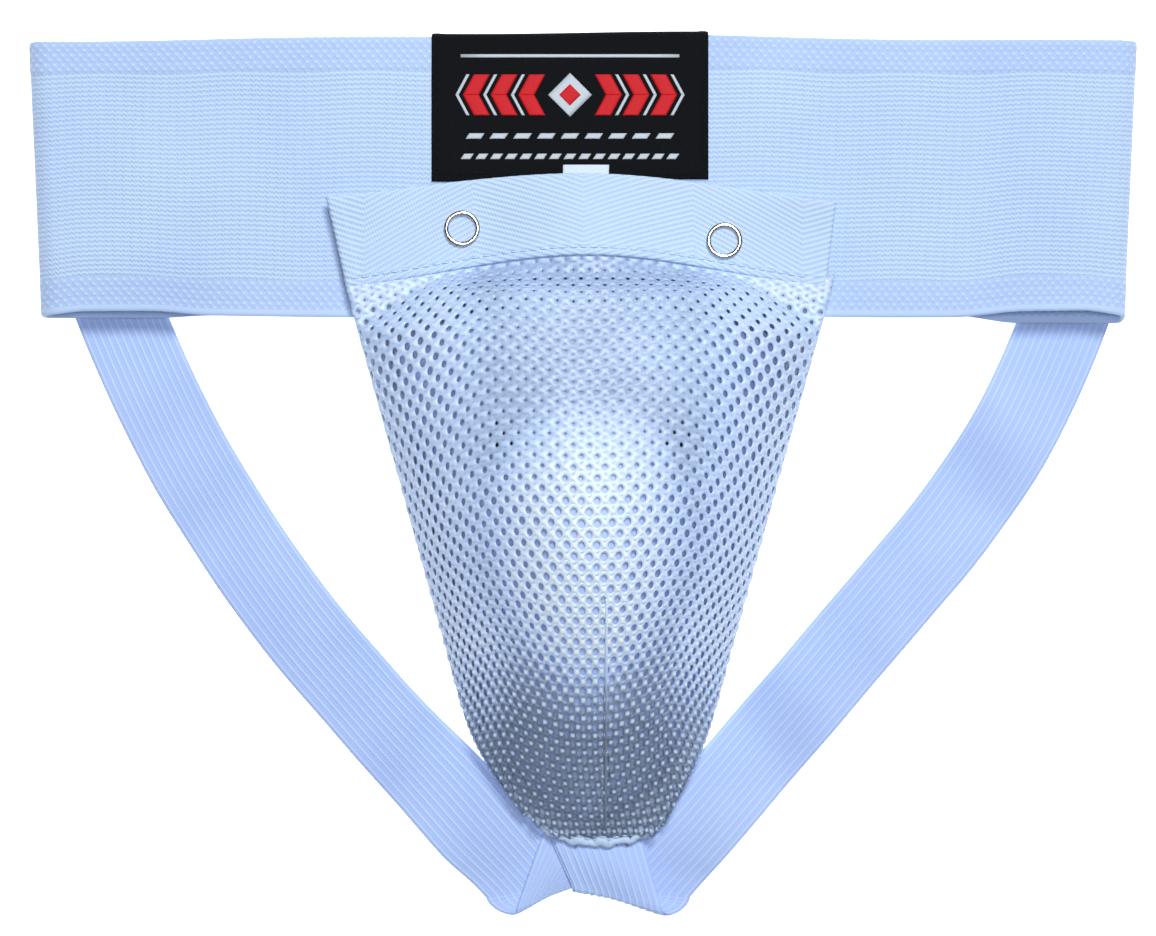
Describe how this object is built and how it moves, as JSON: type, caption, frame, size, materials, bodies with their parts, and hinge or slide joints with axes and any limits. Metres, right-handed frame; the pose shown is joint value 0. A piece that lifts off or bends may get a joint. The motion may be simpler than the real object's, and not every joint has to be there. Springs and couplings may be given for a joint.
{
  "type": "groin protector",
  "caption": "Groin protector: wide elastic waist loop, leg straps and a mesh pouch whose snap-closed mouth holds a removable hard cup.",
  "frame": {"origin": "middle of the bounding box in X and Y, on the surface it lies on", "axes": "+X along the waist loop to the wearer's left, +Y from the crotch to the waist, +Z out of the table, away from the wearer's body"},
  "size_m": [0.306, 0.2418, 0.054],
  "materials": {
    "band_elastic": "woven ribbed elastic",
    "strap_elastic": "ribbed knitted elastic",
    "label_cloth": "damask woven",
    "tape_cotton": "herringbone tape",
    "thread": "stitched",
    "stud_metal": "nickel plated",
    "mesh": "warp-knitted spacer mesh",
    "lining_cloth": "brushed knit",
    "cup_plastic": "moulded, satin",
    "rim_rubber": "soft edging"
  },
  "bodies": {
    "garment": {"waistband": "band_elastic", "waistband_join": "band_elastic", "woven_label": "label_cloth", "stud_left": "stud_metal", "stud_right": "stud_metal", "back_ring_left": "stud_metal", "back_ring_right": "stud_metal", "pouch_mesh": "mesh", "pouch_lining": "lining_cloth", "side_seam_left": "mesh", "side_seam_right": "mesh", "bottom_hem": "lining_cloth", "centre_seam": "mesh", "leg_strap_left": "strap_elastic", "leg_strap_right": "strap_elastic", "strap_stitch_left": "thread", "strap_stitch_right": "thread"},
    "mouth_flap": {"mouth_tape": "tape_cotton", "tape_stitch": "thread", "care_tab": "lining_cloth", "ring_cap_left": "stud_metal", "ring_cap_right": "stud_metal", "socket_left": "stud_metal", "socket_right": "stud_metal"},
    "cup": {"cup_shell": "cup_plastic", "cup_rim": "rim_rubber"}
  },
  "joints": [
    {"name": "mouth_hinge", "type": "hinge", "parent": "garment", "child": "mouth_flap", "pos_m": [0, 0.057, 0.021], "axis": [1, 0, 0], "range_deg": [0, 100]},
    {"name": "cup_slide", "type": "slide", "parent": "garment", "child": "cup", "axis": [0, 0.9903, 0.1392], "range_m": [0, 0.18], "deforming": ["pouch_mesh", "centre_seam", "mouth_tape", "tape_stitch", "care_tab", "ring_cap_left", "ring_cap_right", "socket_left", "socket_right"]}
  ]
}
